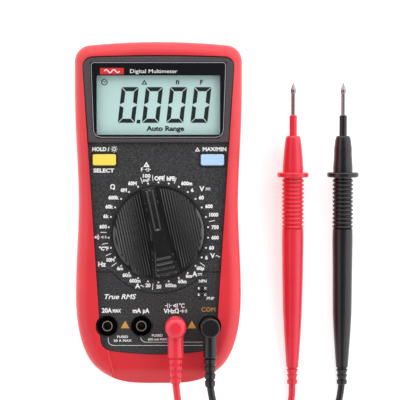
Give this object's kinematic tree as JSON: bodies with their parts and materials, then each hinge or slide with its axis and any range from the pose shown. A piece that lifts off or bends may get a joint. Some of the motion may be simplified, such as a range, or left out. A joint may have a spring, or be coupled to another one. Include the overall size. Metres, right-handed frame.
{
  "type": "handheld digital multimeter with test leads",
  "caption": "Handheld digital multimeter in a red rubber boot, with a rotary selector, display, two keys, input jacks, tilt stand and a red and a black test lead plugged in.",
  "frame": {"origin": "on the surface the meter lies on, under the middle of its boot", "axes": "+Z out of the front face, +Y towards the display end, +X to the right of the display"},
  "size_m": [0.1545, 0.2806, 0.0601],
  "materials": {
    "boot_rubber": "satin red elastomer",
    "case_black": "fine-grained black",
    "case_black_rear": "textured black",
    "screw_steel": "zinc-plated",
    "battery_skin": "printed metal jacket, plain",
    "contact_nickel": "nickel plate",
    "contact_brass": "bright",
    "copper_wire": "bare alloy wire",
    "stand_plastic": "textured black",
    "bezel_gloss": "polished black",
    "window_clear": "clear acrylic",
    "lcd_surface": "pale green-grey liquid crystal",
    "white_plastic": "moulded",
    "boot_rubber_grey": "layered conductive rubber",
    "board_green": "solder mask",
    "chip_black": "moulded epoxy",
    "ptc_orange": "coated disc",
    "fuse_ceramic": "ceramic body with metal ends",
    "jack_plastic": "moulded",
    "knob_black": "satin moulded",
    "key_yellow": "satin",
    "key_blue": "satin",
    "tie_black": "woven strap",
    "red_lead_plastic": "glossy moulded",
    "black_lead_plastic": "glossy moulded",
    "red_cord": "glossy flexible jacket",
    "black_cord": "glossy flexible jacket"
  },
  "bodies": {
    "meter": {"holster": "boot_rubber", "front_cover": "case_black", "rear_cover": "case_black_rear", "case_screws": "screw_steel", "board_screws": "screw_steel", "battery": "battery_skin", "battery_contacts": "contact_nickel", "window_frame": "bezel_gloss", "window_lens": "window_clear", "lcd_glass": "lcd_surface", "backlight_panel": "white_plastic", "lcd_holder": "white_plastic", "zebra_strip": "boot_rubber_grey", "main_board": "board_green", "main_chip": "chip_black", "capacitors": "chip_black", "input_protectors": "ptc_orange", "crystal": "contact_nickel", "tact_switches": "chip_black", "transistor_socket": "case_black", "current_shunt": "copper_wire", "fuse_20a": "fuse_ceramic", "fuse_ma": "fuse_ceramic", "fuse_clips": "contact_nickel", "buzzer": "contact_brass", "jack_insulators": "jack_plastic", "jack_sleeve_20a": "contact_brass", "jack_sleeve_ma": "contact_brass", "jack_sleeve_vohm": "contact_brass", "jack_sleeve_com": "contact_brass", "red_lead_drop": "red_cord", "red_lead_run": "red_cord", "red_lead_coil": "red_cord", "red_coil_tie": "tie_black", "red_probe_handle": "red_lead_plastic", "red_probe_sleeve": "red_lead_plastic", "red_probe_tip": "contact_nickel", "black_lead_drop": "black_cord", "black_lead_run": "black_cord", "black_lead_coil": "black_cord", "black_coil_tie": "tie_black", "black_probe_handle": "black_lead_plastic", "black_probe_sleeve": "black_lead_plastic", "black_probe_tip": "contact_nickel"},
    "selector": {"selector_knob": "knob_black", "selector_rotor": "white_plastic", "detent_balls": "contact_nickel", "detent_springs": "contact_nickel", "wiper_contacts": "contact_brass"},
    "hold_key": {"yellow_button": "key_yellow"},
    "max_key": {"blue_button": "key_blue"},
    "stand": {"tilt_stand": "stand_plastic"},
    "door": {"battery_door": "case_black_rear", "battery_door_screw": "screw_steel"},
    "red_plug": {"red_plug_shell": "red_lead_plastic", "red_plug_pin": "contact_nickel"},
    "black_plug": {"black_plug_shell": "black_lead_plastic", "black_plug_pin": "contact_nickel"}
  },
  "joints": [
    {"name": "selector_turn", "type": "hinge", "parent": "meter", "child": "selector", "pos_m": [0, -0.0098, 0.043], "axis": [0, 0, 1], "continuous": true},
    {"name": "hold_key_press", "type": "slide", "parent": "meter", "child": "hold_key", "axis": [0, 0, -1], "range_m": [0, 0.001], "stiffness_N_per_m": 1500},
    {"name": "max_key_press", "type": "slide", "parent": "meter", "child": "max_key", "axis": [0, 0, -1], "range_m": [0, 0.001], "stiffness_N_per_m": 1500},
    {"name": "stand_swing", "type": "hinge", "parent": "meter", "child": "stand", "pos_m": [0, 0.03, 0.0032], "axis": [1, 0, 0], "range_deg": [0, 60]},
    {"name": "battery_door_lift", "type": "slide", "parent": "meter", "child": "door", "axis": [0, 0, -1], "range_m": [0, 0.014]},
    {"name": "red_plug_pull", "type": "slide", "parent": "meter", "child": "red_plug", "axis": [0, 0, 1], "range_m": [0, 0.019]},
    {"name": "black_plug_pull", "type": "slide", "parent": "meter", "child": "black_plug", "axis": [0, 0, 1], "range_m": [0, 0.019]}
  ]
}
